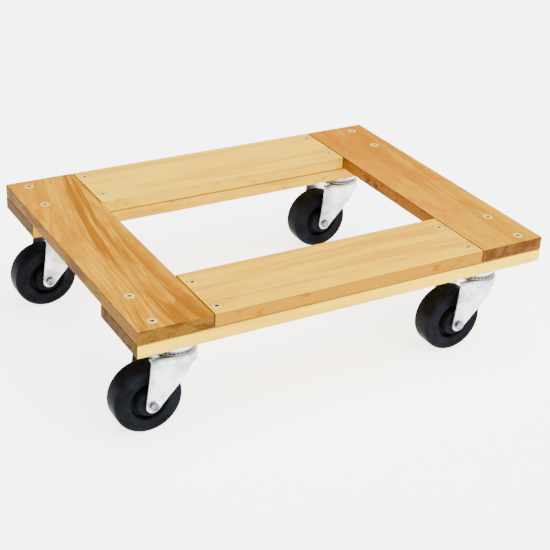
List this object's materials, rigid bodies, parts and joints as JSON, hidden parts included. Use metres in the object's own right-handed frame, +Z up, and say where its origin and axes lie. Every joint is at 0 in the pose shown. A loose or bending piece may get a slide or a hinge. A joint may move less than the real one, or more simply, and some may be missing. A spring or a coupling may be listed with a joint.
{
  "type": "four-wheel dolly",
  "caption": "Low wooden furniture dolly: open rectangular deck of crossed boards bolted in two layers, on swivel plate casters with hard black wheels.",
  "frame": {"origin": "middle of the whole footprint on the floor, under the wheels", "axes": "+X along the deck's length, away from the side that the casters trail to; +Y across the deck to the back; +Z up"},
  "size_m": [0.8558, 0.635, 0.2372],
  "materials": {
    "pale_wood": "clear-lacquered pale softwood",
    "brown_wood": "clear-lacquered yellow-brown hardwood",
    "zinc": "bright zinc plate",
    "bolt_steel": "zinc-plated fastener",
    "race_steel": "dark oiled steel",
    "black_tread": "glossy black hard rubber",
    "sleeve_steel": "plain turned steel"
  },
  "bodies": {
    "deck": {"left_end_board": "brown_wood", "right_end_board": "brown_wood", "front_top_rail": "pale_wood", "back_top_rail": "pale_wood", "front_lower_rail": "pale_wood", "back_lower_rail": "pale_wood", "front_left_bolt_1": "bolt_steel", "front_left_bolt_2": "bolt_steel", "front_left_bolt_3": "bolt_steel", "front_left_bolt_4": "bolt_steel", "front_left_plate": "zinc", "front_left_ball_race": "race_steel", "front_left_king_bolt": "bolt_steel", "front_left_king_nut": "bolt_steel", "front_right_bolt_1": "bolt_steel", "front_right_bolt_2": "bolt_steel", "front_right_bolt_3": "bolt_steel", "front_right_bolt_4": "bolt_steel", "front_right_plate": "zinc", "front_right_ball_race": "race_steel", "front_right_king_bolt": "bolt_steel", "front_right_king_nut": "bolt_steel", "back_left_bolt_1": "bolt_steel", "back_left_bolt_2": "bolt_steel", "back_left_bolt_3": "bolt_steel", "back_left_bolt_4": "bolt_steel", "back_left_plate": "zinc", "back_left_ball_race": "race_steel", "back_left_king_bolt": "bolt_steel", "back_left_king_nut": "bolt_steel", "back_right_bolt_1": "bolt_steel", "back_right_bolt_2": "bolt_steel", "back_right_bolt_3": "bolt_steel", "back_right_bolt_4": "bolt_steel", "back_right_plate": "zinc", "back_right_ball_race": "race_steel", "back_right_king_bolt": "bolt_steel", "back_right_king_nut": "bolt_steel"},
    "front_left_swivel": {"front_left_fork": "zinc", "front_left_axle_bolt": "bolt_steel", "front_left_axle_nut": "bolt_steel", "front_left_axle_sleeve": "sleeve_steel"},
    "front_left_roller": {"front_left_wheel": "black_tread"},
    "front_right_swivel": {"front_right_fork": "zinc", "front_right_axle_bolt": "bolt_steel", "front_right_axle_nut": "bolt_steel", "front_right_axle_sleeve": "sleeve_steel"},
    "front_right_roller": {"front_right_wheel": "black_tread"},
    "back_left_swivel": {"back_left_fork": "zinc", "back_left_axle_bolt": "bolt_steel", "back_left_axle_nut": "bolt_steel", "back_left_axle_sleeve": "sleeve_steel"},
    "back_left_roller": {"back_left_wheel": "black_tread"},
    "back_right_swivel": {"back_right_fork": "zinc", "back_right_axle_bolt": "bolt_steel", "back_right_axle_nut": "bolt_steel", "back_right_axle_sleeve": "sleeve_steel"},
    "back_right_roller": {"back_right_wheel": "black_tread"}
  },
  "joints": [
    {"name": "front_left_swivel_turn", "type": "hinge", "parent": "deck", "child": "front_left_swivel", "pos_m": [-0.31265, -0.2456, 0.1515], "axis": [0, 0, 1], "continuous": true},
    {"name": "front_left_wheel_spin", "type": "hinge", "parent": "front_left_swivel", "child": "front_left_roller", "pos_m": [-0.36445, -0.2456, 0.0635], "axis": [0, 1, 0], "continuous": true},
    {"name": "front_right_swivel_turn", "type": "hinge", "parent": "deck", "child": "front_right_swivel", "pos_m": [0.33055, -0.2456, 0.1515], "axis": [0, 0, 1], "continuous": true},
    {"name": "front_right_wheel_spin", "type": "hinge", "parent": "front_right_swivel", "child": "front_right_roller", "pos_m": [0.27875, -0.2456, 0.0635], "axis": [0, 1, 0], "continuous": true},
    {"name": "back_left_swivel_turn", "type": "hinge", "parent": "deck", "child": "back_left_swivel", "pos_m": [-0.31265, 0.2456, 0.1515], "axis": [0, 0, 1], "continuous": true},
    {"name": "back_left_wheel_spin", "type": "hinge", "parent": "back_left_swivel", "child": "back_left_roller", "pos_m": [-0.36445, 0.2456, 0.0635], "axis": [0, 1, 0], "continuous": true},
    {"name": "back_right_swivel_turn", "type": "hinge", "parent": "deck", "child": "back_right_swivel", "pos_m": [0.33055, 0.2456, 0.1515], "axis": [0, 0, 1], "continuous": true},
    {"name": "back_right_wheel_spin", "type": "hinge", "parent": "back_right_swivel", "child": "back_right_roller", "pos_m": [0.27875, 0.2456, 0.0635], "axis": [0, 1, 0], "continuous": true}
  ]
}
